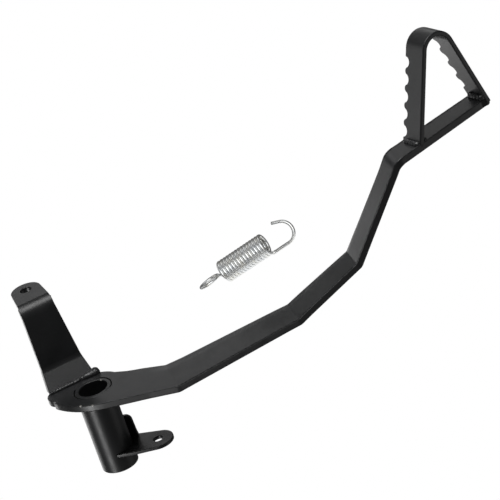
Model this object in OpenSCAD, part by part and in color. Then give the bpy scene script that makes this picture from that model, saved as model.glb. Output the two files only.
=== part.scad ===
// Foot brake pedal with a loose return spring.
// Origin: centre of the pivot bore, level with the lever's top face.
// +Z runs along the pivot, away from the tube. +X runs square to the lever's bends,
// towards the foot loop. All sizes are in millimetres.

/* [Pivot] */
// Outside diameter of the pivot tube
tube_d = 25.4; // [25:0.2:26.4]
// Bore of the pivot tube
bore_d = 20; // [17:0.5:20.5]
// Length of the pivot tube below the lever's top face
tube_len = 60; // [59:1:80]
// Gap between the tube and the hole in the lever
ring_gap = 0.6; // [0.4:0.1:0.7]

/* [Lever] */
// Thickness of the lever plate
plate_t = 5; // [4.5:0.5:5.5]
// Radius of the round eye at the pivot
eye_r = 21.2; // [21:0.2:23]
// Radius of the lobe that carries the rod bracket
lobe_r = 9; // [8.5:0.5:10]
// Width of the flat pad under the foot loop
pad_w = 17.4; // [17:0.2:18.2]
// Inner radius of the lever's bends
bend_r = 6; // [4:1:8]

/* [Foot loop] */
// Width of the loop's strip
loop_w = 18.8; // [18:0.2:19.6]
// Thickness of the loop's strip
strip_t = 3.2; // [2.4:0.2:3.6]
// Outside radius of the loop's crown
crown_r = 12; // [11:0.5:13]
// Distance from one tooth to the next
tooth_pitch = 10.8; // [10.2:0.2:11.4]
// Depth of the scoops between the teeth
scoop_depth = 3.8; // [3:0.2:4.2]

/* [Rod bracket] */
// Thickness of the bracket's strip
bracket_t = 4; // [3:0.5:4.5]
// Height of the bracket's top face above the lever
bracket_h = 60; // [56:1:64]
// Diameter of the rod hole
rod_hole_d = 8; // [6:0.5:9]

/* [Spring tab] */
// Thickness of the tab's sheet
tab_t = 2.5; // [2:0.5:3]
// Diameter of the spring hole
spring_hole_d = 6.5; // [6:0.5:8]
// Distance from the pivot's axis to the spring hole
tab_reach = 31.2; // [30:0.2:33]

/* [Return spring] */
// Outside diameter of the coil
coil_d = 16.2; // [15:0.2:17]
// Wire diameter
wire_d = 2.3; // [2:0.1:2.4]
// Number of turns in the close-wound coil
turns = 15; // [12:1:16]

/* [Hidden] */
$fn = 64;
overlap = 0.4;
black = "#1c1d1e";
zinc = "#c9ccce";

// The lever bends about lines parallel to Y. Corners of its top face in the XZ plane:
start_x = 30;
pad_slope = 6.1;
bend_ab = [50.4, 0];
bend_bc = [134.4, 29.6];
bend_cd = [177.3, 62.1];
bend_de = [216, 127.6];
sweep_end = bend_de + 13.2 * [cos(pad_slope), sin(pad_slope)];
profile_corners = [[start_x, 0], bend_ab, bend_bc, bend_cd, bend_de, sweep_end];
profile_radii = [bend_r, bend_r, 4, bend_r + plate_t];

// The flat pad's length runs at this angle to the bends' square
pad_angle = 17.7;
near_line = -116.9;
pad_far = near_line + pad_w;
pad_taper = 2;
far_line = near_line + loop_w;
pad_end = 37;
pad_lead = tan(pad_angle) / cos(pad_slope);

// Plan of the lever: near edge, crease and far edge, as Y over X
near_y = [-35.6, -43.7, -77.4, -100.4, near_line / cos(pad_angle)];
crease_y = [-6.2, -15.9, -55.7, -80.3, -105];
far_y = [3.1, -6.6, -49.5, -77, pad_far / cos(pad_angle)];
near_round = [6, 10, 8, 5];
far_round = [6, 14, 12, 9];
crease_tilt = 8;
crease_fade = [36, 62, 178, 214];

// Foot loop: where its outer faces meet the pad's plane, and their lean from upright
loop_foot = -17.2;
loop_toe = 40.1;
left_lean = 27.8;
right_lean = 9.3;
toe_drop = 3.3;

// Rod bracket: its bends run at this angle to X
bracket_angle = 8;
riser_y = 29.8;
crease_z = 12.5;
foot_y = 19;
rod_hole = [-8.5, 56.5];
tip_r = 10.5;

// Spring tab
tab_angle = -24.5;
tab_z = -46.6;
tab_tip_r = 10.6;
ear_y = 12;
ear_out = 14.5;
ear_h = 16.3;

// Return spring, lying loose beside the lever
spring_at = [123.8, -4.3, 49.3];
spring_turn = -22.1;
spring_lift = 22.1;
spring_roll = -19;
coil_gap = 0.19;
coil_pitch = wire_d + coil_gap;
coil_r = (coil_d - wire_d) / 2;
coil_len = turns * coil_pitch;
hook_reach = 13.6;
hook_r_mid = 7.7;
hook_bend = 160;
hook_end = 6.2;
eye_twist = 10;
eye_reach = 11.6;
eye_r_mid = 6.9;

// ---- geometry helpers ----

function heading(a, b) = atan2(b[1] - a[1], b[0] - a[0]);

// Points [x, y, heading] along a polyline whose inner corners are rounded to radii r
function bent_path(p, r, steps = 6) = concat(
    [[p[0][0], p[0][1], heading(p[0], p[1])]],
    [for (i = [1:len(p) - 2])
        let (a = heading(p[i - 1], p[i]),
            turn = heading(p[i], p[i + 1]) - a,
            side = sign(turn),
            back = r[i - 1] * tan(abs(turn) / 2),
            start = [p[i][0] - back * cos(a), p[i][1] - back * sin(a)])
        for (k = [0:steps])
            let (h = a + turn * k / steps)
            [start[0] + side * r[i - 1] * (sin(h) - sin(a)),
                start[1] + side * r[i - 1] * (cos(a) - cos(h)), h]],
    [[p[len(p) - 1][0], p[len(p) - 1][1], heading(p[len(p) - 2], p[len(p) - 1])]]);

// The same path with long straight runs cut into pieces no longer than step
function fine_path(q, step) = concat(
    [for (i = [0:len(q) - 2])
        let (d = norm([q[i + 1][0] - q[i][0], q[i + 1][1] - q[i][1]]),
            n = max(1, ceil(d / step)))
        for (k = [0:n - 1]) q[i] + (q[i + 1] - q[i]) * k / n],
    [q[len(q) - 1]]);

// Outline of a strip of thickness t lying to the right of a path
function strip_outline(q, t) = concat(
    [for (s = q) [s[0], s[1]]],
    [for (i = [len(q) - 1:-1:0]) [q[i][0] + t * sin(q[i][2]), q[i][1] - t * cos(q[i][2])]]);

// Y of an edge at x: straight between the bends, eased over w on each side of them
function edge_y(y, w, x) = let (
    bx = [start_x, bend_ab[0], bend_bc[0], bend_cd[0], bend_de[0]],
    slopes = concat([for (i = [0:3]) (y[i + 1] - y[i]) / (bx[i + 1] - bx[i])], [pad_lead]),
    run = max([for (i = [0:4]) x >= bx[i] ? i : 0]),
    eased = [for (i = [1:4]) if (abs(x - bx[i]) < w[i - 1]) i])
    len(eased) == 0 ? y[run] + slopes[run] * (x - bx[run])
        : let (i = eased[0], d = x - bx[i], h = w[i - 1])
            y[i] + slopes[i - 1] * d + (slopes[i] - slopes[i - 1]) * pow(d + h, 2) / (4 * h);

function ramp(a, b, x) = min(1, max(0, (x - a) / (b - a)));

// ---- lever ----

// One section of the lever: near top, crease, far top, far bottom, crease, near bottom
function lever_section(s) = let (
    x = s[0],
    up = [-sin(s[2]), 0, cos(s[2])],
    top = [x, 0, s[1]],
    near = [0, edge_y(near_y, near_round, x), 0],
    crease = [0, edge_y(crease_y, far_round, x), 0],
    far = [0, edge_y(far_y, far_round, x), 0],
    fade = ramp(crease_fade[0], crease_fade[1], x) * (1 - ramp(crease_fade[2], crease_fade[3], x)),
    drop = (far[1] - crease[1]) * tan(crease_tilt) * fade)
    [top + near, top + crease, top + far - drop * up,
        top + far - (drop + plate_t) * up, top + crease - plate_t * up, top + near - plate_t * up];

module lever_sweep() {
    sections = [for (s = fine_path(bent_path(profile_corners, profile_radii), 7)) lever_section(s)];
    n = len(sections);
    sides = len(sections[0]);
    cap = [[0, 1, 4], [0, 4, 5], [1, 2, 3], [1, 3, 4]];
    polyhedron(
        points = [for (s = sections) each s],
        faces = concat(
            [for (f = cap) [f[2], f[1], f[0]]],
            [for (i = [0:n - 2]) for (j = [0:sides - 1])
                let (a = i * sides + j, b = i * sides + (j + 1) % sides)
                each [[a, b, b + sides], [a, b + sides, a + sides]]],
            [for (f = cap) [for (j = f) (n - 1) * sides + j]]),
        convexity = 10);
}

// Plan of the eye, the lobe and the first flat stretch. The flank from the lobe round to the
// lever's near edge is one shallow arc.
flank_centre = [20.2, 23.8];
flank_r = 53.1;

module eye_plan() {
    difference() {
        union() {
            circle(r = eye_r, $fn = 96);
            hull() {
                translate([-21.2, 10.5]) circle(r = lobe_r, $fn = 48);
                circle(r = eye_r - 1.5, $fn = 96);
            }
            polygon(concat(
                [for (a = [206:4:242]) flank_centre + flank_r * [cos(a), sin(a)]],
                [[3, -26.1], [start_x, near_y[0]], [start_x, far_y[0]],
                    [25.7, 5.5], [16.8, 12], [0, 15]]));
        }
        circle(d = tube_d + 2 * ring_gap, $fn = 96);
    }
}

// Plan of the flat pad under the foot loop, measured from the last bend
module pad_plan() {
    joint = 13.2 - overlap;
    joint_x = bend_de[0] + joint * cos(pad_slope);
    polygon([[joint, edge_y(near_y, near_round, joint_x)],
        for (line = [near_line, pad_far - pad_taper])
            [pad_end * cos(pad_angle) - line * sin(pad_angle),
                pad_end * sin(pad_angle) + line * cos(pad_angle)],
        [joint, edge_y(far_y, far_round, joint_x)]]);
}

// The pad's plane, with X square to the bends
module pad_plane() {
    translate([bend_de[0], 0, bend_de[1]]) rotate([0, -pad_slope, 0]) children();
}

// The pad's plane, with X along the pad
module pad_frame() {
    pad_plane() rotate([0, 0, pad_angle]) children();
}

module lever_eye() {
    color(black) translate([0, 0, -plate_t]) linear_extrude(plate_t) eye_plan();
}

module lever_arm() {
    color(black) {
        lever_sweep();
        pad_plane() translate([0, 0, -plate_t]) linear_extrude(plate_t) pad_plan();
    }
}

// ---- pivot tube ----

module pivot_tube() {
    color(black) translate([0, 0, -tube_len]) difference() {
        cylinder(d = tube_d, h = tube_len, $fn = 96);
        translate([0, 0, -1]) cylinder(d = bore_d, h = tube_len + 2, $fn = 96);
    }
}

// ---- rod bracket ----

// Side profile: sloping foot, upright riser, level tab
module bracket_profile() {
    corners = [[foot_y - 3 * (riser_y - foot_y) / crease_z, -3], [riser_y, crease_z],
        [riser_y, bracket_h], [riser_y + 45, bracket_h]];
    intersection() {
        polygon(strip_outline(bent_path(corners, [6, 9], 8), bracket_t));
        square([90, 90]);
    }
}

// Front view of the foot and riser
module bracket_front() {
    polygon([[-25.5, -1], [8.8, -1], [6.5, crease_z], [1.8, bracket_h - 6], [2, bracket_h + 1],
        [-22.2, bracket_h + 1], [-22.3, bracket_h - 6], [-22.6, crease_z]]);
}

// Plan of the level tab
module bracket_tip() {
    translate(rod_hole) circle(r = tip_r, $fn = 64);
    polygon([[rod_hole[0] - tip_r, rod_hole[1]], [-22.2, riser_y], [1.8, riser_y],
        [rod_hole[0] + tip_r, rod_hole[1]]]);
}

module rod_bracket() {
    color(black) rotate([0, 0, bracket_angle]) difference() {
        intersection() {
            translate([-40, 0, 0]) rotate([90, 0, 90]) linear_extrude(60) bracket_profile();
            union() {
                translate([0, riser_y + bracket_t + 1, 0]) rotate([90, 0, 0])
                    linear_extrude(40) bracket_front();
                translate([0, 0, bracket_h - 12]) linear_extrude(20) bracket_tip();
            }
        }
        translate([rod_hole[0], rod_hole[1], bracket_h - 20])
            cylinder(d = rod_hole_d, h = 40, $fn = 48);
    }
}

// ---- spring tab ----

module spring_tab() {
    color(black) rotate([0, 0, tab_angle]) difference() {
        union() {
            translate([0, 0, tab_z - tab_t]) linear_extrude(tab_t) {
                translate([tab_reach, 0]) circle(r = tab_tip_r, $fn = 64);
                polygon([[4, -12.2], [16, -12.2], [tab_reach, -tab_tip_r],
                    [tab_reach, tab_tip_r], [ear_out, ear_y], [2, ear_y]]);
            }
            translate([0, ear_y, 0]) rotate([90, 0, 0]) linear_extrude(tab_t) {
                translate([ear_out - 4, tab_z + ear_h - 4]) circle(r = 4, $fn = 48);
                polygon([[2, tab_z - tab_t], [ear_out + 0.5, tab_z - tab_t],
                    [ear_out, tab_z + ear_h - 4], [ear_out - 4, tab_z + ear_h], [2, tab_z + ear_h]]);
            }
        }
        translate([0, 0, -tube_len]) cylinder(d = tube_d + 0.1, h = tube_len, $fn = 96);
        translate([tab_reach, 0, tab_z - 2 * tab_t]) cylinder(d = spring_hole_d, h = 20, $fn = 48);
    }
}

// ---- foot loop ----

// Round tooth tips and round scoops that meet smoothly, one scoop to each pitch
tooth_r = 2.3;
wave_r = (pow(tooth_pitch / 2, 2) + pow(scoop_depth, 2)) / (2 * scoop_depth);
scoop_r = wave_r - tooth_r;

// Where the outer faces of the two legs would meet
loop_peak_z = (loop_toe - loop_foot) / (tan(left_lean) + tan(right_lean));
loop_peak_x = loop_foot + loop_peak_z * tan(left_lean);

// Cuts the teeth in the far edge of a leg: foot is where the leg starts, lean its tilt about Y
module scoops(foot, lean, count, first) {
    translate([foot, far_line, 0]) rotate([0, lean, 0]) {
        for (i = [0:count - 1])
            translate([0, scoop_r - scoop_depth, first + i * tooth_pitch]) rotate([0, 90, 0])
                cylinder(r = scoop_r, h = 30, center = true, $fn = 48);
        difference() {
            translate([-15, -tooth_r, first]) cube([30, 9, (count - 1) * tooth_pitch]);
            for (i = [0:count - 2])
                translate([0, -tooth_r, first + (i + 0.5) * tooth_pitch]) rotate([0, 90, 0])
                    cylinder(r = tooth_r, h = 40, center = true, $fn = 48);
        }
    }
}

module loop_profile() {
    below = 8;
    corners = [[loop_foot - below * tan(left_lean), -below], [loop_peak_x, loop_peak_z],
        [loop_toe + below * tan(right_lean), -below]];
    intersection() {
        polygon(strip_outline(bent_path(corners, [crown_r], 16), strip_t));
        union() {
            translate([-60, 0]) square([120, 120]);
            translate([pad_end, -toe_drop]) square([20, toe_drop + 1]);
        }
    }
}

module foot_loop() {
    color(black) pad_frame() difference() {
        translate([0, far_line, 0]) rotate([90, 0, 0]) linear_extrude(loop_w) loop_profile();
        scoops(loop_foot, left_lean, 5, 5.7);
        scoops(loop_toe, -right_lean, 4, 10);
    }
}

// ---- welds ----

// A weld bead from a to b: a rod of weld metal with ripples of radius r along it
module bead(a, b, r) {
    run = b - a;
    length = norm(run);
    ripples = max(2, round(length / (1.3 * r)));
    translate(a) rotate([0, acos(run[2] / length), atan2(run[1], run[0])]) {
        cylinder(r = 0.88 * r, h = length, $fn = 32);
        for (i = [0:ripples]) translate([0, 0, length * i / ripples]) sphere(r = r, $fn = 32);
    }
}

module weld_tube_under() {
    color(black) translate([0, 0, -plate_t]) rotate_extrude($fn = 96)
        polygon([[tube_d / 2 - 0.2, 0.2], [tube_d / 2 + 2.6, 0.2], [tube_d / 2 + 1, -1.2],
            [tube_d / 2 - 0.2, -2.6]]);
}

// Two short runs of weld in the gap round the tube, front and back
module weld_tube_top() {
    color(black) for (a = [-70, 110])
        rotate([0, 0, a - 35]) rotate_extrude(angle = 70, $fn = 96)
            polygon([[tube_d / 2 - 0.3, -1.6], [tube_d / 2 + ring_gap + 0.3, -1.6],
                [tube_d / 2 + ring_gap + 0.3, -0.15], [tube_d / 2 - 0.3, -0.15]]);
}

module weld_bracket_front() {
    color(black) rotate([0, 0, bracket_angle])
        bead([-23.5, foot_y - 0.6, 0.2], [-3.6, foot_y - 0.6, 0.2], 1.7);
}

// The bead swells towards the foot's right-hand corner
module weld_bracket_corner() {
    color(black) rotate([0, 0, bracket_angle]) translate([-1.6, foot_y - 0.5, 0.4]) {
        rotate([0, 90, 0]) cylinder(r1 = 1.7, r2 = 3.6, h = 10.4, $fn = 48);
        translate([10.4, 0, 0]) sphere(r = 3.6, $fn = 48);
    }
}

module weld_bracket_rear() {
    color(black) rotate([0, 0, bracket_angle])
        bead([-19, foot_y + 2.5, -1.7], [-4, foot_y + 2.5, -1.7], 1.8);
}

module weld_tab_ear() {
    color(black) rotate([0, 0, tab_angle])
        bead([4.5, ear_y, tab_z + 2], [4.5, ear_y, tab_z + ear_h - 3], 1.5);
}

module weld_tab_under() {
    color(black) rotate([0, 0, tab_angle]) translate([0, 0, tab_z - tab_t])
        rotate([0, 0, -32]) rotate_extrude(angle = 64, $fn = 96)
            polygon([[tube_d / 2 - 0.2, 0.2], [tube_d / 2 + 2, 0.2], [tube_d / 2 - 0.2, -2]]);
}

// A bead across the pad at x, centred z above its plane
module pad_bead(x, z, r) {
    color(black) pad_frame() bead([x, near_line + r, z], [x, pad_far - pad_taper - r, z], r);
}

module weld_loop_left_outer() {
    pad_bead(loop_foot - 0.8, 0.2, 2);
}

module weld_loop_left_inner() {
    pad_bead(loop_foot + strip_t + 1.6, 0.2, 1.8);
}

module weld_loop_right_inner() {
    pad_bead(pad_end - 1, 0.5, 2.6);
}

module weld_loop_right_end() {
    pad_bead(pad_end + 1.2, -toe_drop - 0.4, 2.4);
}

// ---- return spring ----

// Z runs along the spring from its middle to the hook
module spring_frame() {
    translate(spring_at) rotate([0, 0, spring_turn]) rotate([0, -spring_lift, 0])
        rotate([spring_roll, 0, 0]) rotate([0, 90, 0]) children();
}

// Close-wound coil, as a ribbed sleeve with one rib for each turn
module spring_coil() {
    steps = 6;
    inner = coil_r - wire_d / 2 + 0.2;
    ribs = [for (i = [0:turns - 1]) for (k = [0:steps - 1])
        let (a = 180 * k / steps)
        [coil_r + wire_d / 2 * sin(a), (i + 0.5 - cos(a) / 2) * coil_pitch]];
    color(zinc) spring_frame() translate([0, 0, -coil_len / 2]) rotate_extrude($fn = 48)
        polygon(concat([[inner, 0]], ribs, [[coil_r, coil_len], [inner, coil_len]]));
}

// Open hook: a straight shank from the coil's rim, a bend and a short straight end
module spring_hook() {
    color(zinc) spring_frame() translate([0, 0, coil_len / 2]) {
        translate([hook_r_mid, 0, 0]) cylinder(d = wire_d, h = hook_reach, $fn = 24);
        translate([0, 0, hook_reach]) rotate([90, 0, 0]) {
            rotate_extrude(angle = hook_bend, $fn = 48)
                translate([hook_r_mid, 0]) circle(d = wire_d, $fn = 24);
            rotate([0, 0, hook_bend]) translate([hook_r_mid, -0.01, 0]) rotate([-90, 0, 0])
                cylinder(d = wire_d, h = hook_end, $fn = 24);
        }
    }
}

// Closed eye in a plane nearly square to the hook's, with a neck that curls out to the coil's rim
module spring_eye() {
    color(zinc) spring_frame() translate([0, 0, -coil_len / 2]) rotate([0, 0, 90 + eye_twist]) {
        translate([0, 0, -eye_reach]) rotate([90, 0, 0]) rotate_extrude($fn = 48)
            translate([eye_r_mid, 0]) circle(d = wire_d, $fn = 24);
        translate([0, 0, -eye_reach + eye_r_mid])
            cylinder(d = wire_d, h = eye_reach - eye_r_mid - wire_d / 2, $fn = 24);
        translate([coil_r / 2, 0, -wire_d / 2]) rotate_extrude(angle = 180, $fn = 48)
            translate([coil_r / 2, 0]) circle(d = wire_d, $fn = 24);
    }
}

lever_eye();
lever_arm();
pivot_tube();
rod_bracket();
spring_tab();
foot_loop();
weld_tube_under();
weld_tube_top();
weld_bracket_front();
weld_bracket_rear();
weld_bracket_corner();
weld_tab_ear();
weld_tab_under();
weld_loop_left_outer();
weld_loop_left_inner();
weld_loop_right_inner();
weld_loop_right_end();
spring_eye();
spring_coil();
spring_hook();
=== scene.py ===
import bpy, bmesh
from math import atan2, ceil, cos, hypot, pi, radians, sin, sqrt, tan
from mathutils import Matrix, Quaternion, Vector


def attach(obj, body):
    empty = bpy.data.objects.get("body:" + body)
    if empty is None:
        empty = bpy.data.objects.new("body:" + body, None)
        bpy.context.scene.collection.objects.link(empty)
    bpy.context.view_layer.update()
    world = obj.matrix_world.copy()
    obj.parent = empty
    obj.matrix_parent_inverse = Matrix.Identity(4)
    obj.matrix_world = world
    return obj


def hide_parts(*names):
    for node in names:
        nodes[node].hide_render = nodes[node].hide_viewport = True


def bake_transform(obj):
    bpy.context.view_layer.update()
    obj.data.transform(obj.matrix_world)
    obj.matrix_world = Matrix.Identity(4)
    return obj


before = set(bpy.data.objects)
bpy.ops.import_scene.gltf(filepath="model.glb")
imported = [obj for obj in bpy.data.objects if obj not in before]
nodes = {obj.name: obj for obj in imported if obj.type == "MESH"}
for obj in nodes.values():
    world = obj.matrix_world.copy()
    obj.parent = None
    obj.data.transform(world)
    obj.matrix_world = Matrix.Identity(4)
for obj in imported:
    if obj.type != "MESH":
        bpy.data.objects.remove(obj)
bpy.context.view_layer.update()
scene = bpy.context.scene
MM = 0.001

# The return spring's own frame, as the CAD model has it: Z runs from the eye to the hook.
SPRING_AT = Vector((123.8, -4.3, 49.3))
SPRING_TURN, SPRING_LIFT, SPRING_ROLL = -22.1, 22.1, -19
TURNS, PITCH, COIL_R, WIRE_R = 15, 2.49, 6.95, 1.15
COIL_END = TURNS * PITCH / 2
EYE_TWIST, EYE_REACH, EYE_R = 100, 11.6, 6.9
HOOK_REACH, HOOK_R, HOOK_BEND, HOOK_END = 13.6, 7.7, 160, 6.2


# ---- materials ----

class Nodes:
    """A short way to write a node tree."""

    def __init__(self, name):
        self.material = bpy.data.materials.new(name)
        self.material.use_nodes = True
        self.tree = self.material.node_tree
        self.shader = self.tree.nodes["Principled BSDF"]
        self.coords = self.tree.nodes.new("ShaderNodeTexCoord").outputs["Object"]

    def add(self, kind, inputs=None, **settings):
        node = self.tree.nodes.new(kind)
        for key, value in settings.items():
            setattr(node, key, value)
        for key, value in (inputs or {}).items():
            self.put(node.inputs[key], value)
        return node

    def put(self, socket, value):
        if isinstance(value, bpy.types.NodeSocket):
            self.tree.links.new(value, socket)
        else:
            socket.default_value = value

    def noise(self, scale, detail=3, rough=0.5, vector=None):
        return self.add("ShaderNodeTexNoise", {"Vector": vector or self.coords, "Scale": scale,
            "Detail": detail, "Roughness": rough}).outputs["Fac"]

    def ramp(self, value, stops):
        node = self.add("ShaderNodeValToRGB", {"Fac": value})
        ends = node.color_ramp.elements
        while len(ends) < len(stops):
            ends.new(0.5)
        for end, (at, colour) in zip(ends, stops):
            end.position = at
            end.color = (*colour, 1)
        return node.outputs["Color"]

    def span(self, value, low, high, to_low, to_high):
        return self.add("ShaderNodeMapRange", {"Value": value, "From Min": low, "From Max": high,
            "To Min": to_low, "To Max": to_high}).outputs["Result"]

    def math(self, operation, a, b):
        return self.add("ShaderNodeMath", {0: a, 1: b}, operation=operation).outputs[0]

    def bump(self, height, distance, strength=1, normal=None):
        inputs = {"Height": height, "Distance": distance, "Strength": strength}
        if normal is not None:
            inputs["Normal"] = normal
        return self.add("ShaderNodeBump", inputs).outputs["Normal"]


# Where the coat is chipped down to pale metal: place in the part's frame and radius, in mm
CHIPS = [((-12.5, -17.6, -0.2), 0.9), ((-5.4, -22.8, -0.4), 0.8)]
TUBE_CHIPS = [((7.2, 7.0, -0.2), 0.9)]


def coat(name, dark, light, rough, peel, grain, chips=()):
    """Satin powder coat: a fine orange-peel skin, slightly uneven colour and gloss."""
    m = Nodes(name)
    cloud = m.noise(38, 4, 0.6)
    speck = m.noise(1500, 2, 0.7)
    tone = m.math("ADD", m.math("MULTIPLY", cloud, 0.7), m.math("MULTIPLY", speck, 0.3))
    colour = m.ramp(tone, [(0.3, dark), (0.7, light)])
    gloss = m.span(m.noise(75, 5, 0.65), 0.25, 0.75, rough - 0.05, rough + 0.06)
    metal = None
    for at, r in chips:
        off = m.add("ShaderNodeVectorMath", {0: m.coords, 1: Vector(at) * MM},
            operation="DISTANCE").outputs["Value"]
        wobble = m.span(m.noise(900, 2), 0.3, 0.7, -0.35 * r * MM, 0.35 * r * MM)
        spot = m.span(m.math("ADD", off, wobble), r * MM, 0.6 * r * MM, 0, 1)
        metal = spot if metal is None else m.math("MAXIMUM", metal, spot)
    if metal is not None:
        mix = m.add("ShaderNodeMix", data_type="RGBA")
        m.put(mix.inputs[0], metal)
        m.put(mix.inputs[6], colour)
        mix.inputs[7].default_value = (0.30, 0.29, 0.27, 1)
        colour = mix.outputs[2]
    m.put(m.shader.inputs["Base Color"], colour)
    m.put(m.shader.inputs["Roughness"], gloss)
    skin = m.bump(m.noise(650, 2, 0.4), peel * MM)
    skin = m.bump(m.noise(2600, 2, 0.6), grain * MM, 1, skin)
    m.put(m.shader.inputs["Normal"], skin)
    return m.material


def zinc(name, along):
    """Bright zinc over drawn wire: cool and warm patches, with fine streaks along the spring."""
    m = Nodes(name)
    patch = m.noise(160, 3, 0.6)
    colour = m.ramp(patch, [(0.25, (0.80, 0.83, 0.86)), (0.5, (0.88, 0.89, 0.88)),
        (0.75, (0.92, 0.90, 0.83))])
    streak_at = m.add("ShaderNodeMapping", {"Vector": m.coords, "Scale": along}).outputs["Vector"]
    streak = m.noise(500, 3, 0.6, streak_at)
    m.put(m.shader.inputs["Base Color"], colour)
    m.put(m.shader.inputs["Roughness"], m.span(streak, 0.3, 0.7, 0.24, 0.32))
    m.shader.inputs["Metallic"].default_value = 0.75
    return m.material


black = coat("black_powder_coat", (0.007, 0.0073, 0.0078), (0.0145, 0.015, 0.0158), 0.36, 0.010,
    0.004, CHIPS)
black_tube = coat("black_powder_coat_tube", (0.006, 0.0063, 0.0068), (0.015, 0.0155, 0.0162), 0.40,
    0.018, 0.008, TUBE_CHIPS)
rough_coat = coat("black_coat_on_weld", (0.008, 0.0082, 0.0088), (0.022, 0.0225, 0.0235), 0.34,
    0.06, 0.02)
bright = zinc("bright_zinc_wire", (1, 1, 0.2))


def paint(obj, material):
    obj.data.materials.clear()
    obj.data.materials.append(material)


# ---- edges and skins ----

def soften(obj, width, angle=32):
    """Rounds an object's sharp edges, as rolled plate and powder coat do."""
    weld = obj.modifiers.new("weld", "WELD")
    weld.merge_threshold = 0.02 * MM
    flat = obj.modifiers.new("flat", "DECIMATE")
    flat.decimate_type = "DISSOLVE"
    flat.angle_limit = radians(0.8)
    bevel = obj.modifiers.new("round", "BEVEL")
    bevel.width = width * MM
    bevel.segments = 3
    bevel.limit_method = "ANGLE"
    bevel.angle_limit = radians(angle)
    bevel.use_clamp_overlap = False
    normals = obj.modifiers.new("normals", "WEIGHTED_NORMAL")
    normals.weight = 100
    normals.keep_sharp = True
    for face in obj.data.polygons:
        face.use_smooth = True


def own_mesh(name, mesh, body, material, slot, *stands_for):
    obj = bpy.data.objects.new(name, mesh)
    scene.collection.objects.link(obj)
    paint(obj, material)
    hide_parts(*stands_for)
    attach(obj, body)
    return obj


# ---- lever and foot loop, from the CAD model's own figures, with rounded edges ----

PLATE_T, PAD_SLOPE, PAD_ANGLE, PAD_END = 5, 6.1, 17.7, 37
BENDS = [(30, 0), (50.4, 0), (134.4, 29.6), (177.3, 62.1), (216, 127.6)]
BEND_R = [6, 6, 4, 11]
JOINT = 13.2
NEAR_LINE, PAD_W, PAD_TAPER, LOOP_W = -116.9, 17.4, 2, 18.8
FAR_LINE = NEAR_LINE + LOOP_W
NEAR_Y = [-35.6, -43.7, -77.4, -100.4, NEAR_LINE / cos(radians(PAD_ANGLE))]
CREASE_Y = [-6.2, -15.9, -55.7, -80.3, -105]
FAR_Y = [3.1, -6.6, -49.5, -77, (NEAR_LINE + PAD_W) / cos(radians(PAD_ANGLE))]
NEAR_ROUND, FAR_ROUND = [6, 10, 8, 5], [6, 14, 12, 9]
CREASE_TILT, CREASE_FADE = 8, (36, 62, 178, 214)
PAD_LEAD = tan(radians(PAD_ANGLE)) / cos(radians(PAD_SLOPE))
LOOP_FOOT, LOOP_TOE, LEFT_LEAN, RIGHT_LEAN, CROWN_R, STRIP_T = -17.2, 40.1, 27.8, 9.3, 12, 3.2
TOOTH_PITCH, TOOTH_R, SCOOP_DEPTH = 10.8, 2.3, 3.8
LEFT_SCOOPS, RIGHT_SCOOPS = (5.7, 5), (10, 4)  # distance of the first along its leg, and count
LEFT_BURY, TOE_DROP = 1, 3.3  # how far each leg runs below the pad's top face
LEVER_START = 30
SCOOP_R = (TOOTH_PITCH ** 2 / 4 + SCOOP_DEPTH ** 2) / (2 * SCOOP_DEPTH) - TOOTH_R


def heading(a, b):
    return atan2(b[1] - a[1], b[0] - a[0])


def bent_path(p, r, count, step):
    """(x, z, heading) along a polyline with rounded corners, in steps no longer than step."""
    out = [(*p[0], heading(p[0], p[1]))]
    for i in range(1, len(p) - 1):
        a = heading(p[i - 1], p[i])
        turn = heading(p[i], p[i + 1]) - a
        side = 1 if turn > 0 else -1
        back = r[i - 1] * tan(abs(turn) / 2)
        x, z = p[i][0] - back * cos(a), p[i][1] - back * sin(a)
        for k in range(count + 1):
            h = a + turn * k / count
            out.append((x + side * r[i - 1] * (sin(h) - sin(a)),
                z + side * r[i - 1] * (cos(a) - cos(h)), h))
    out.append((*p[-1], heading(p[-2], p[-1])))
    fine = []
    for a, b in zip(out, out[1:]):
        n = max(1, ceil(hypot(b[0] - a[0], b[1] - a[1]) / step))
        fine += [tuple(u + (v - u) * k / n for u, v in zip(a, b)) for k in range(n)]
    return fine + [out[-1]]


def edge_y(y, w, x):
    """Y of an edge at x: straight between the bends, eased over w on each side of them."""
    bx = [b[0] for b in BENDS]
    slopes = [(y[i + 1] - y[i]) / (bx[i + 1] - bx[i]) for i in range(4)] + [PAD_LEAD]
    for i in range(1, 5):
        if abs(x - bx[i]) < w[i - 1]:
            d, h = x - bx[i], w[i - 1]
            return y[i] + slopes[i - 1] * d + (slopes[i] - slopes[i - 1]) * (d + h) ** 2 / (4 * h)
    run = max(i for i in range(5) if x >= bx[i])
    return y[run] + slopes[run] * (x - bx[run])


def rounded(corners, radii, count=4):
    """A closed section with its corners rounded."""
    out = []
    for i, (c, r) in enumerate(zip(corners, radii)):
        before, after = corners[i - 1], corners[(i + 1) % len(corners)]
        a, b = c + (before - c).normalized() * r, c + (after - c).normalized() * r
        for k in range(count + 1):
            t = k / count
            out.append(a * (1 - t) ** 2 + c * 2 * t * (1 - t) + b * t ** 2)
    return out


def swept(work, sections, cap_start, cap_end):
    """Joins closed sections, all with the same number of points, into a skin."""
    loops = [[work.verts.new(p) for p in section] for section in sections]
    n = len(loops[0])
    for a, b in zip(loops, loops[1:]):
        for k in range(n):
            work.faces.new((a[k], a[(k + 1) % n], b[(k + 1) % n], b[k]))
    if cap_start:
        work.faces.new(reversed(loops[0]))
    if cap_end:
        work.faces.new(loops[-1])


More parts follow.
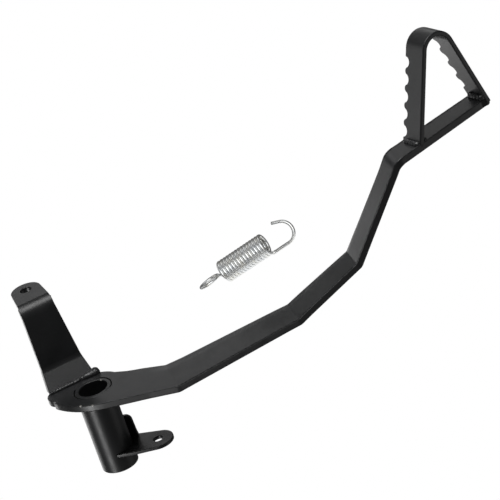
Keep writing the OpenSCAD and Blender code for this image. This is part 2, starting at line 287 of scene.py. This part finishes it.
# Edge radii of the lever's section: near top, crease, far top, far bottom, crease, near bottom
EDGE_R = [0.8, 1.8, 0.8, 0.8, 0.01, 0.8]
BORE_EDGE_R = 0.35
STRIP_EDGE_R = [0.8, 0.6, 0.6, 0.8]


def ramp(low, high, x):
    return min(1, max(0, (x - low) / (high - low)))


def lever_corners(x, z, h):
    """The lever's section at a point of its side profile, as near, crease and far corners."""
    up = Vector((-sin(h), 0, cos(h)))
    near, crease, far = (Vector((x, edge_y(y, w, x), z)) for y, w in (
        (NEAR_Y, NEAR_ROUND), (CREASE_Y, FAR_ROUND), (FAR_Y, FAR_ROUND)))
    rise_from, rise_to, fall_from, fall_to = CREASE_FADE
    fade = ramp(rise_from, rise_to, x) * (1 - ramp(fall_from, fall_to, x))
    drop = (far.y - crease.y) * tan(radians(CREASE_TILT)) * fade
    far = far - up * drop
    return [near, crease, far, far - up * PLATE_T, crease - up * PLATE_T, near - up * PLATE_T]


def pad_point(t, y, z=0):
    """A point in the plane of the flat pad, with t square to the bends."""
    s = radians(PAD_SLOPE)
    return Vector((BENDS[-1][0] + t * cos(s) - z * sin(s), y, BENDS[-1][1] + t * sin(s) + z * cos(s)))


def pad_frame_point(x, y, z):
    """A point in the plane of the flat pad, with x along the pad."""
    a = radians(PAD_ANGLE)
    return pad_point(x * cos(a) - y * sin(a), x * sin(a) + y * cos(a), z)


def outline(node, z):
    """Closed loops round a CAD node's flat face at height z, in millimetres, smallest first."""
    follow = set()
    mesh = node.data
    for face in mesh.polygons:
        at = [node.matrix_world @ mesh.vertices[v].co / MM for v in face.vertices]
        if all(abs(p.z - z) < 0.01 for p in at):
            key = [(round(p.x, 2), round(p.y, 2)) for p in at]
            for a, b in zip(key, key[1:] + key[:1]):
                follow.add((a, b))
    edges = {a: b for a, b in follow if (b, a) not in follow}
    loops = []
    while edges:
        start, b = edges.popitem()
        loop = [start]
        while b != start:
            loop.append(b)
            b = edges.pop(b)
        loops.append(loop)
    return sorted(loops, key=lambda loop: max(p[0] for p in loop))


def ring_wall(work, points, normals, closed, r):
    """The rounded wall of a flat plate along a line of points: normals point out of the metal."""
    curve = [(r * t * t, -r * (1 - t) ** 2) for t in (0, 0.25, 0.5, 0.75, 1)]
    profile = [(inset, z) for inset, z in reversed(curve)]
    profile += [(inset, -PLATE_T - z) for inset, z in curve]
    columns = [[work.verts.new((p[0] - n[0] * inset, p[1] - n[1] * inset, z))
        for inset, z in profile] for p, n in zip(points, normals)]
    pairs = list(zip(columns, columns[1:])) + ([(columns[-1], columns[0])] if closed else [])
    for a, b in pairs:
        for k in range(len(profile) - 1):
            work.faces.new((a[k], b[k], b[k + 1], a[k + 1]))


def miter(loop, closed):
    """Outward normals of a loop with its metal on the left."""
    out = []
    for i, p in enumerate(loop):
        sides = []
        for a, b in ((i - 1, i), (i, i + 1)):
            if closed or (a >= 0 and b < len(loop)):
                q, s = loop[a], loop[b % len(loop)]
                run = hypot(s[0] - q[0], s[1] - q[1])
                sides.append(((s[1] - q[1]) / run, -(s[0] - q[0]) / run))
        if len(sides) == 1:
            out.append((0, 1) if i == 0 else (0, -1))
            continue
        (ax, ay), (bx, by) = sides
        out.append(((ax + bx) / (1 + ax * bx + ay * by), (ay + by) / (1 + ax * bx + ay * by)))
    return out


def clean(loop):
    """The loop without points closer than 0.2 mm to the last one kept."""
    out = [loop[0]]
    for p in loop[1:]:
        if hypot(p[0] - out[-1][0], p[1] - out[-1][1]) > 0.2:
            out.append(p)
    return out


def cap_round_bore(work, z):
    """The flat face at height z between the bore's rim and the plate's rim, fanned round the bore."""
    follow = {}
    for e in work.edges:
        if len(e.link_faces) == 1 and all(abs(v.co.z - z) < 0.01 for v in e.verts):
            a, b = e.verts
            follow.setdefault(a, []).append(b)
            follow.setdefault(b, []).append(a)
    loops = []
    while follow:
        at = next(iter(follow))
        loop = []
        while at is not None:
            loop.append(at)
            at = next((v for v in follow.pop(at) if v in follow), None)
        area = sum(a.co.x * b.co.y - b.co.x * a.co.y for a, b in zip(loop, loop[1:] + loop[:1]))
        if area < 0:
            loop.reverse()
        first = min(range(len(loop)), key=lambda i: atan2(loop[i].co.y, loop[i].co.x))
        loop = loop[first:] + loop[:first]
        angles = [atan2(v.co.y, v.co.x) for v in loop]
        loops.append((abs(area), loop + [loop[0]], angles + [angles[0] + 2 * pi]))
    (_, bore, bore_at), (_, rim, rim_at) = sorted(loops, key=lambda item: item[0])
    i = j = 0
    while i < len(bore) - 1 or j < len(rim) - 1:
        if j == len(rim) - 1 or (i < len(bore) - 1 and bore_at[i + 1] < rim_at[j + 1]):
            work.faces.new((bore[i], rim[j], bore[i + 1]))
            i += 1
        else:
            work.faces.new((bore[i], rim[j], rim[j + 1]))
            j += 1


def lever_mesh():
    """The whole lever as one plate: the arm is swept, and the eye is its flat outline."""
    work = bmesh.new()
    s = radians(PAD_SLOPE)
    end = (BENDS[-1][0] + JOINT * cos(s), BENDS[-1][1] + JOINT * sin(s))
    sections = [lever_corners(*p) for p in bent_path(BENDS + [end], BEND_R, 8, 3)]
    last = sections[-1]
    a = radians(PAD_ANGLE)
    near, far = (pad_frame_point(PAD_END, y, 0) for y in (NEAR_LINE,
        NEAR_LINE + PAD_W - PAD_TAPER))
    share = (last[1].y - last[0].y) / (last[2].y - last[0].y)
    down = pad_point(0, 0, -PLATE_T) - pad_point(0, 0)
    tops = [near, near.lerp(far, share), far]
    final = tops + [p + down for p in reversed(tops)]
    sections += [[p.lerp(q, k / 12) for p, q in zip(last, final)] for k in range(1, 13)]
    swept(work, [rounded(c, EDGE_R) for c in sections], False, True)
    hole, outer = outline(nodes["lever_eye"], 0)
    right = max(range(len(outer)), key=lambda i: (round(outer[i][0], 1), outer[i][1]))
    outer = clean(outer[right:] + outer[:right])
    while min(outer[-1][0], outer[-2][0]) > LEVER_START - 0.1:
        outer.pop()
    outer[0], outer[-1] = (LEVER_START, FAR_Y[0]), (LEVER_START, NEAR_Y[0])
    ring_wall(work, outer, miter(outer, False), False, EDGE_R[0])
    hole = clean(hole)
    ring_wall(work, hole, miter(hole, True), True, BORE_EDGE_R)
    bmesh.ops.remove_doubles(work, verts=work.verts, dist=0.004)
    for z in (0, -PLATE_T):
        cap_round_bore(work, z)
    return finished(work, "lever_plate")


def tooth_edge(d, first, count):
    """How far the toothed edge lies inside the strip's full width, at d along a leg."""
    inside, last = 0, first + (count - 1) * TOOTH_PITCH
    if first < d < last:
        off = abs((d - first) % TOOTH_PITCH - TOOTH_PITCH / 2)
        inside = TOOTH_R - sqrt(max(0, TOOTH_R ** 2 - off ** 2))
    for i in range(count):
        off = abs(d - first - i * TOOTH_PITCH)
        if off < SCOOP_R:
            inside = max(inside, sqrt(SCOOP_R ** 2 - off ** 2) - SCOOP_R + SCOOP_DEPTH)
    return inside


def loop_mesh():
    """The foot loop: a strip bent round a crown, with teeth in its far edge."""
    left, right = tan(radians(LEFT_LEAN)), tan(radians(RIGHT_LEAN))
    peak_z = (LOOP_TOE - LOOP_FOOT) / (left + right)
    peak = (LOOP_FOOT + peak_z * left, peak_z)
    path = bent_path([(LOOP_FOOT - LEFT_BURY * left, -LEFT_BURY), peak,
        (LOOP_TOE + TOE_DROP * right, -TOE_DROP)], [CROWN_R], 24, 0.5)
    sections = []
    for x, z, h in path:
        on_left = h > 0
        lean, foot = (LEFT_LEAN, LOOP_FOOT) if on_left else (RIGHT_LEAN, LOOP_TOE)
        d = hypot(x - foot, z) * (1 if z > 0 else -1)
        curved = abs(abs(h) - radians(90 - lean)) > 0.001
        cut = 0 if curved else tooth_edge(d, *(LEFT_SCOOPS if on_left else RIGHT_SCOOPS))
        far = FAR_LINE - cut
        ix, iz = x + STRIP_T * sin(h), z - STRIP_T * cos(h)
        sections.append([pad_frame_point(px, y, pz) for px, y, pz in (
            (x, NEAR_LINE, z), (x, far, z), (ix, far, iz), (ix, NEAR_LINE, iz))])
    work = bmesh.new()
    swept(work, [rounded(c, STRIP_EDGE_R) for c in sections], True, True)
    return finished(work, "foot_loop_strip")


def finished(work, name):
    """A mesh in metres, smooth but for the faces that lie flat in the eye's plane."""
    bmesh.ops.recalc_face_normals(work, faces=work.faces)
    for face in work.faces:
        face.smooth = abs(face.normal.z) < 0.9999
    bmesh.ops.scale(work, vec=(MM, MM, MM), verts=work.verts)
    mesh = bpy.data.meshes.new(name)
    work.to_mesh(mesh)
    work.free()
    return mesh


lever = own_mesh("lever_plate", lever_mesh(), "pedal", black, "black_coat", "lever_eye", "lever_arm")
strip = own_mesh("foot_loop_strip", loop_mesh(), "pedal", black, "black_coat", "foot_loop")
for obj in (lever, strip):
    obj.modifiers.new("normals", "WEIGHTED_NORMAL").weight = 100
for name, width in (("rod_bracket", 0.4), ("spring_tab", 0.4)):
    paint(nodes[name], black)
    soften(nodes[name], width)
paint(nodes["pivot_tube"], black_tube)
soften(nodes["pivot_tube"], 0.5)


# ---- welds ----

lumps = bpy.data.textures.new("lumps", "CLOUDS")
lumps.noise_scale = 3.2 * MM
lumps.noise_depth = 2
for name, node in nodes.items():
    if not name.startswith("weld_"):
        continue
    paint(node, rough_coat)
    ring = name in ("weld_tube_under", "weld_tube_top", "weld_tab_under")
    remesh = node.modifiers.new("skin", "REMESH")
    remesh.mode = "VOXEL"
    remesh.voxel_size = (0.3 if ring else 0.35) * MM
    remesh.use_smooth_shade = True
    lump = node.modifiers.new("lumps", "DISPLACE")
    lump.texture = lumps
    lump.texture_coords = "LOCAL"
    lump.mid_level = 0.5
    lump.strength = (0.4 if ring else 0.7) * MM


# ---- return spring ----

def spring_matrix():
    turn = Matrix.Rotation(radians(SPRING_TURN), 4, "Z") @ Matrix.Rotation(
        radians(-SPRING_LIFT), 4, "Y")
    turn = turn @ Matrix.Rotation(radians(SPRING_ROLL), 4, "X") @ Matrix.Rotation(
        radians(90), 4, "Y")
    return Matrix.Translation(SPRING_AT * MM) @ turn


def smooth(points, rounds):
    """Corner cutting, which keeps the two ends."""
    for _ in range(rounds):
        cut = [points[0]]
        for a, b in zip(points, points[1:]):
            cut += [a.lerp(b, 0.25), a.lerp(b, 0.75)]
        points = cut + [points[-1]]
    return points


def evenly(points, step):
    out, left = [points[0]], step
    for a, b in zip(points, points[1:]):
        run = (b - a).length
        at = left
        while at < run:
            out.append(a.lerp(b, at / run))
            at += step
        left = at - run
    if (out[-1] - points[-1]).length > 0.3 * step:
        out.append(points[-1])
    else:
        out[-1] = points[-1]
    return out


def wire_mesh(name, path, r, sides=14, round_start=False, round_end=False):
    """A round wire along a path in the spring's frame, in millimetres, with closed ends."""
    rings, radii = list(path), [r] * len(path)
    for at_end, wanted in ((False, round_start), (True, round_end)):
        if not wanted:
            continue
        a, b = (rings[-1], rings[-2]) if at_end else (rings[0], rings[1])
        out = (a - b).normalized()
        extra = [(a + out * (0.3 * k * r / 3), r * (1 - (k / 3.6) ** 3)) for k in (1, 2, 3)]
        for p, q in extra:
            rings.insert(len(rings) if at_end else 0, p)
            radii.insert(len(radii) if at_end else 0, q)
    mesh = bpy.data.meshes.new(name)
    work = bmesh.new()
    normal = None
    loops = []
    for i, p in enumerate(rings):
        ahead = (rings[min(i + 1, len(rings) - 1)] - rings[max(i - 1, 0)]).normalized()
        if normal is None:
            normal = ahead.orthogonal().normalized()
        normal = (normal - ahead * normal.dot(ahead)).normalized()
        side = ahead.cross(normal)
        loops.append([work.verts.new(p + (normal * cos(2 * pi * k / sides)
            + side * sin(2 * pi * k / sides)) * radii[i]) for k in range(sides)])
    for a, b in zip(loops, loops[1:]):
        for k in range(sides):
            work.faces.new((a[k], a[(k + 1) % sides], b[(k + 1) % sides], b[k]))
    work.faces.new(reversed(loops[0]))
    work.faces.new(loops[-1])
    for face in work.faces:
        face.smooth = len(face.verts) == 4
    bmesh.ops.recalc_face_normals(work, faces=work.faces)
    bmesh.ops.scale(work, vec=(MM, MM, MM), verts=work.verts)
    bmesh.ops.transform(work, matrix=spring_matrix(), verts=work.verts)
    work.to_mesh(mesh)
    work.free()
    return mesh


def polar(r, degrees, z):
    return Vector((r * cos(radians(degrees)), r * sin(radians(degrees)), z))


# The coil winds right-handed, from the eye's side round to the hook's shank at angle 0
start_angle = EYE_TWIST + 24
end_angle = 360 * TURNS - 40
steps = int((end_angle - start_angle) / 9)
rise = 2 * (COIL_END - WIRE_R)
coil_path = [polar(COIL_R, start_angle + (end_angle - start_angle) * k / steps,
    -COIL_END + WIRE_R + rise * k / steps) for k in range(steps + 1)]

# Out of the last turn into the shank
shank = [coil_path[-1], polar(COIL_R + 0.1, -24, COIL_END - WIRE_R + 0.15),
    polar(COIL_R + 0.5, -9, COIL_END - WIRE_R + 0.6), polar(HOOK_R, 0, COIL_END + 0.8),
    polar(HOOK_R, 0, COIL_END + 2)]
coil_top = evenly(smooth(shank, 3), 0.8)[1:]

# Out of the first turn into the neck of the eye
neck_z = -COIL_END - 1.4
neck = [coil_path[0], polar(COIL_R, EYE_TWIST + 5, -COIL_END + 0.7),
    polar(COIL_R - 0.3, EYE_TWIST - 18, -COIL_END - 0.2), polar(4.6, EYE_TWIST - 42, neck_z),
    polar(1.7, EYE_TWIST - 40, neck_z - 0.9), Vector((0, 0, neck_z - 2)),
    polar(0.9, EYE_TWIST + 180, neck_z - 3.2)]
loop_centre = -COIL_END - EYE_REACH
eye_arc = []
for k in range(49):
    a = radians(90 + 12 + k * 340 / 48)
    eye_arc.append(polar(EYE_R * cos(a), EYE_TWIST, loop_centre + EYE_R * sin(a)))
coil_bottom = evenly(smooth(neck[:3], 3), 0.8)
eye_path = evenly(smooth([neck[2].lerp(neck[1], 0.02)] + neck[2:] + eye_arc[1:], 2), 0.8)

hook_path = [polar(HOOK_R, 0, COIL_END + z) for z in (0.9, 4, 8, HOOK_REACH)]
for k in range(1, 37):
    a = radians(HOOK_BEND * k / 36)
    hook_path.append(Vector((HOOK_R * cos(a), 0, COIL_END + HOOK_REACH + HOOK_R * sin(a))))
hook_tip = Vector((-sin(radians(HOOK_BEND)), 0, cos(radians(HOOK_BEND))))
hook_path += [hook_path[-1] + hook_tip * d for d in (2, 4, HOOK_END - 0.4)]

own_mesh("spring_eye_wire", wire_mesh("spring_eye_wire", eye_path, WIRE_R - 0.01,
    round_end=True), "spring_eye_end", bright, "bright_zinc", "spring_eye")
own_mesh("spring_hook_wire", wire_mesh("spring_hook_wire", hook_path, WIRE_R - 0.01,
    round_end=True), "spring_hook_end", bright, "bright_zinc", "spring_hook")
coil = bpy.data.objects.new("spring_coil_wire", wire_mesh("spring_coil_wire",
    list(reversed(coil_bottom))[:-1] + coil_path + coil_top, WIRE_R + 0.09))
scene.collection.objects.link(coil)
paint(coil, bright)
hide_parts("spring_coil")
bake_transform(coil)


# ---- floor, light and camera ----

def camera_white(tree, shader_out, target):
    """Shows plain white to the camera and something dimmer to the object."""
    path = tree.nodes.new("ShaderNodeLightPath")
    mix = tree.nodes.new("ShaderNodeMixShader")
    white = tree.nodes.new("ShaderNodeEmission")
    white.inputs["Strength"].default_value = 1
    tree.links.new(path.outputs["Is Camera Ray"], mix.inputs[0])
    tree.links.new(shader_out, mix.inputs[1])
    tree.links.new(white.outputs[0], mix.inputs[2])
    tree.links.new(mix.outputs[0], target)


FLOOR_Z = -2.5
floor_mesh = bpy.data.meshes.new("floor")
floor_mesh.from_pydata([(-6, -6, FLOOR_Z), (6, -6, FLOOR_Z), (6, 6, FLOOR_Z), (-6, 6, FLOOR_Z)], [],
    [(0, 1, 2, 3)])
floor = bpy.data.objects.new("floor", floor_mesh)
scene.collection.objects.link(floor)
pale = bpy.data.materials.new("pale_floor")
pale.use_nodes = True
pale_shader = pale.node_tree.nodes["Principled BSDF"]
pale_shader.inputs["Base Color"].default_value = (0.55, 0.55, 0.55, 1)
pale_shader.inputs["Roughness"].default_value = 0.8
pale_shader.inputs["Emission Color"].default_value = (1, 1, 1, 1)
pale_shader.inputs["Emission Strength"].default_value = 0.05
camera_white(pale.node_tree, pale_shader.outputs[0],
    pale.node_tree.nodes["Material Output"].inputs["Surface"])
paint(floor, pale)

world = bpy.data.worlds.new("studio")
scene.world = world
world.use_nodes = True
sky = world.node_tree.nodes["Background"]
sky.inputs["Color"].default_value = (1, 1, 1, 1)
sky.inputs["Strength"].default_value = 0.08
camera_white(world.node_tree, sky.outputs[0],
    world.node_tree.nodes["World Output"].inputs["Surface"])


def group(name, objects):
    out = bpy.data.collections.new(name)
    for obj in objects:
        out.objects.link(obj)
    return out


shown = [o for o in scene.objects if o.type == "MESH" and not o.hide_render]
wires = group("wires", [o for o in shown if o.name.startswith("spring_") and "wire" in o.name])
coated = group("coated", [o for o in shown if o.name not in wires.objects])


def soft_light(name, at, to, width, height, power, lit):
    data = bpy.data.lights.new(name, "AREA")
    data.shape = "RECTANGLE"
    data.size, data.size_y = width, height
    data.energy = power
    lamp = bpy.data.objects.new(name, data)
    scene.collection.objects.link(lamp)
    lamp.location = at
    lamp.rotation_mode = "QUATERNION"
    lamp.rotation_quaternion = (Vector(to) - Vector(at)).to_track_quat("-Z", "Y")
    lamp.visible_camera = False
    lamp.light_linking.receiver_collection = lit


MIDDLE = (0.13, -0.03, 0.05)
soft_light("top", (0.0, -0.15, 1.4), MIDDLE, 1.0, 0.9, 17, coated)
soft_light("back", (0.3, 2.0, 0.75), MIDDLE, 1.9, 0.5, 3.2, coated)
soft_light("low_back", (-0.65, 1.25, -0.5), MIDDLE, 1.4, 0.7, 7, coated)
soft_light("left_back", (-1.1, 0.85, 0.25), (0.23, -0.1, 0.15), 0.9, 0.8, 1.5, coated)
soft_light("left", (-0.95, -0.7, -0.45), (0, 0, -0.04), 0.3, 0.3, 6, coated)
soft_light("right", (1.2, -0.6, -0.3), (0, 0, -0.04), 0.8, 0.8, 1.2, coated)
soft_light("wire_front", (-0.3, -1.6, 1.1), SPRING_AT * MM, 2.4, 1.8, 25, wires)
soft_light("wire_low", (0.4, -1.2, -0.7), SPRING_AT * MM, 2.4, 1.2, 7.5, wires)
soft_light("wire_under", (0.2, 0.2, -0.8), SPRING_AT * MM, 1.8, 1.4, 7, wires)
soft_light("wire_top", (0.4, 0.5, 1.5), SPRING_AT * MM, 1.4, 0.9, 3, wires)
soft_light("wire_side", (-1.5, 0.9, 0.3), SPRING_AT * MM, 1.4, 1.8, 5, wires)

CAM_AIM = Vector((0.1302, 0.0057, 0.0487))
CAM_DISTANCE = 1.804
CAM_AZIMUTH, CAM_ELEVATION, CAM_ROLL, CAM_LENS = -7.5, 24.94, 18.6, 195.48


def add_camera():
    a, e = radians(CAM_AZIMUTH), radians(CAM_ELEVATION)
    back = Vector((sin(a) * cos(e), -cos(a) * cos(e), sin(e)))
    data = bpy.data.cameras.new("camera")
    data.lens = CAM_LENS
    data.sensor_width = 36
    data.clip_start, data.clip_end = 0.05, 30
    camera = bpy.data.objects.new("camera", data)
    scene.collection.objects.link(camera)
    camera.location = CAM_AIM + back * CAM_DISTANCE
    camera.rotation_mode = "QUATERNION"
    camera.rotation_quaternion = Quaternion(back, radians(-CAM_ROLL)) @ (
        -back).to_track_quat("-Z", "Y")
    scene.camera = camera


add_camera()
scene.view_settings.view_transform = "Standard"
